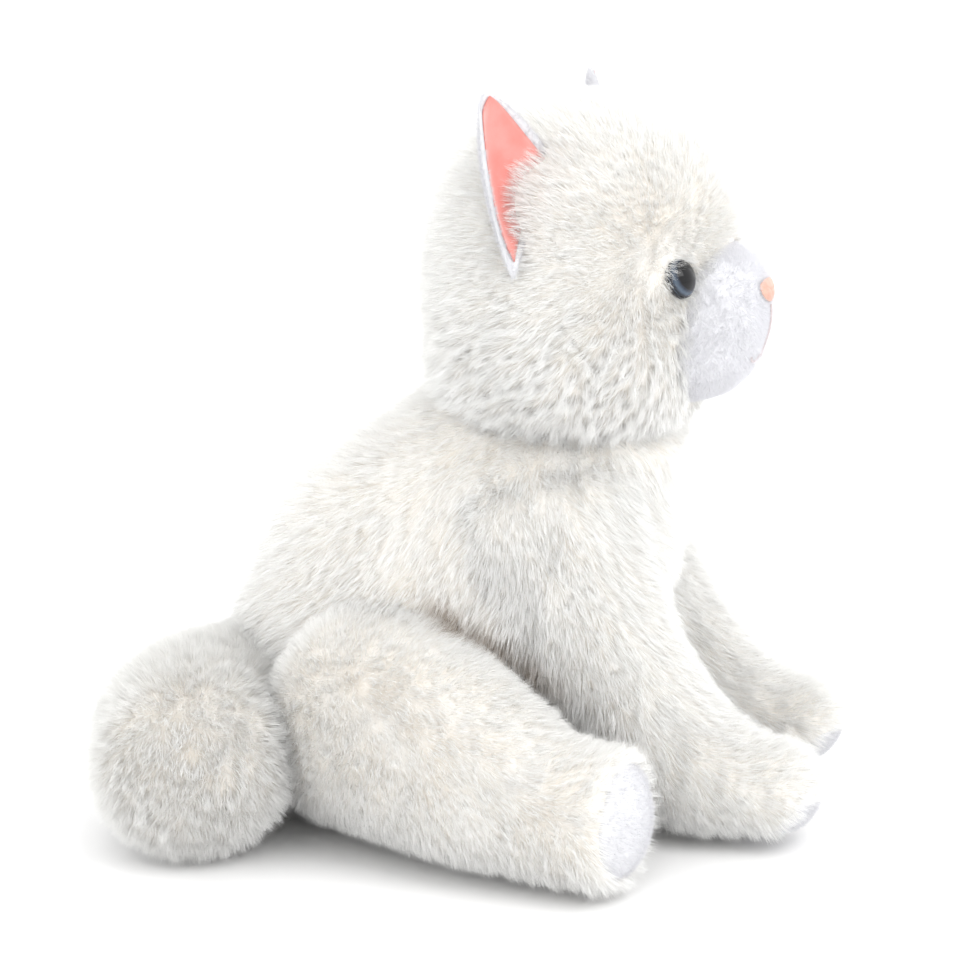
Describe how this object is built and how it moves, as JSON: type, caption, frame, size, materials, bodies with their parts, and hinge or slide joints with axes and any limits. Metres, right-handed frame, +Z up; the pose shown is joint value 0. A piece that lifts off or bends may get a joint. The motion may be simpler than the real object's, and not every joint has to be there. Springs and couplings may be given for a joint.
{
  "type": "sitting plush cat",
  "caption": "White long-pile plush cat sitting with its tail curled round its right side, short-pile muzzle and soles, pink ear linings and plastic eyes.",
  "frame": {"origin": "on the floor under the middle of the flat seat", "axes": "+Z up, the cat faces -Y, its left side is +X and its right side is -X"},
  "size_m": [0.2648, 0.2662, 0.2797],
  "materials": {
    "long_pile": "matte",
    "short_pile": "matte",
    "ear_lining": "satin",
    "nose_thread": "matte",
    "mouth_thread": "matte",
    "seam_thread": "matte",
    "fibre_fill": "matte",
    "bag_cloth": "matte",
    "eye_clear": "gloss",
    "eye_print": "satin",
    "eye_black": "satin",
    "washer_white": "matte"
  },
  "bodies": {
    "torso": {"body_cover": "long_pile", "body_stuffing": "fibre_fill", "seat_pellet_bag": "bag_cloth", "back_seam_thread": "seam_thread"},
    "neck": {"neck_stuffing": "fibre_fill"},
    "head": {"head_cover": "long_pile", "head_stuffing": "fibre_fill", "muzzle_cover": "short_pile", "muzzle_stuffing": "fibre_fill", "nose": "nose_thread", "mouth_thread": "mouth_thread", "eye_dome_right": "eye_clear", "eye_dome_left": "eye_clear", "eye_iris_right": "eye_print", "eye_iris_left": "eye_print", "eye_post_right": "eye_black", "eye_post_left": "eye_black", "eye_washer_right": "washer_white", "eye_washer_left": "washer_white"},
    "ear_right": {"ear_back_right": "short_pile", "ear_lining_right": "ear_lining"},
    "ear_left": {"ear_back_left": "short_pile", "ear_lining_left": "ear_lining"},
    "front_leg_right": {"front_leg_cover_right": "long_pile", "front_leg_stuffing_right": "fibre_fill", "front_sole_right": "short_pile"},
    "front_leg_left": {"front_leg_cover_left": "long_pile", "front_leg_stuffing_left": "fibre_fill", "front_sole_left": "short_pile"},
    "hind_leg_right": {"hind_leg_cover_right": "long_pile", "hind_leg_stuffing_right": "fibre_fill", "hind_sole_right": "short_pile", "foot_pellet_bag_right": "bag_cloth"},
    "hind_leg_left": {"hind_leg_cover_left": "long_pile", "hind_leg_stuffing_left": "fibre_fill", "hind_sole_left": "short_pile", "foot_pellet_bag_left": "bag_cloth"},
    "tail": {"tail_cover": "long_pile", "tail_stuffing": "fibre_fill", "tail_pellet_bag": "bag_cloth"}
  },
  "joints": [
    {"name": "head_turn", "type": "hinge", "parent": "torso", "child": "neck", "pos_m": [0, -0.06602, 0.155], "axis": [0, 0, 1], "range_deg": [-25, 25]},
    {"name": "head_nod", "type": "hinge", "parent": "neck", "child": "head", "pos_m": [0, -0.06602, 0.155], "axis": [0.9914, -0.1305, 0], "range_deg": [-8, 10]},
    {"name": "ear_right_fold", "type": "hinge", "parent": "head", "child": "ear_right", "pos_m": [-0.06041, -0.0639, 0.23764], "axis": [0.5855, -0.1255, 0.8009], "range_deg": [-8, 30]},
    {"name": "ear_left_fold", "type": "hinge", "parent": "head", "child": "ear_left", "pos_m": [0.0589, -0.07961, 0.23764], "axis": [0.5981, -0.0303, -0.8009], "range_deg": [-8, 30]},
    {"name": "front_leg_right_swing", "type": "hinge", "parent": "torso", "child": "front_leg_right", "pos_m": [-0.045, -0.06998, 0.12195], "axis": [-1, 0, 0], "range_deg": [0, 45]},
    {"name": "front_leg_left_swing", "type": "hinge", "parent": "torso", "child": "front_leg_left", "pos_m": [0.045, -0.06998, 0.12195], "axis": [-1, 0, 0], "range_deg": [0, 45]},
    {"name": "hind_leg_right_splay", "type": "hinge", "parent": "torso", "child": "hind_leg_right", "pos_m": [-0.04597, 0.01498, 0.04399], "axis": [0, 0, -1], "range_deg": [0, 30]},
    {"name": "hind_leg_left_splay", "type": "hinge", "parent": "torso", "child": "hind_leg_left", "pos_m": [0.04597, 0.01498, 0.04399], "axis": [0, 0, 1], "range_deg": [0, 30]},
    {"name": "tail_swing", "type": "hinge", "parent": "torso", "child": "tail", "pos_m": [0, 0.05688, 0.03596], "axis": [0, 0, -1], "range_deg": [0, 45]}
  ]
}
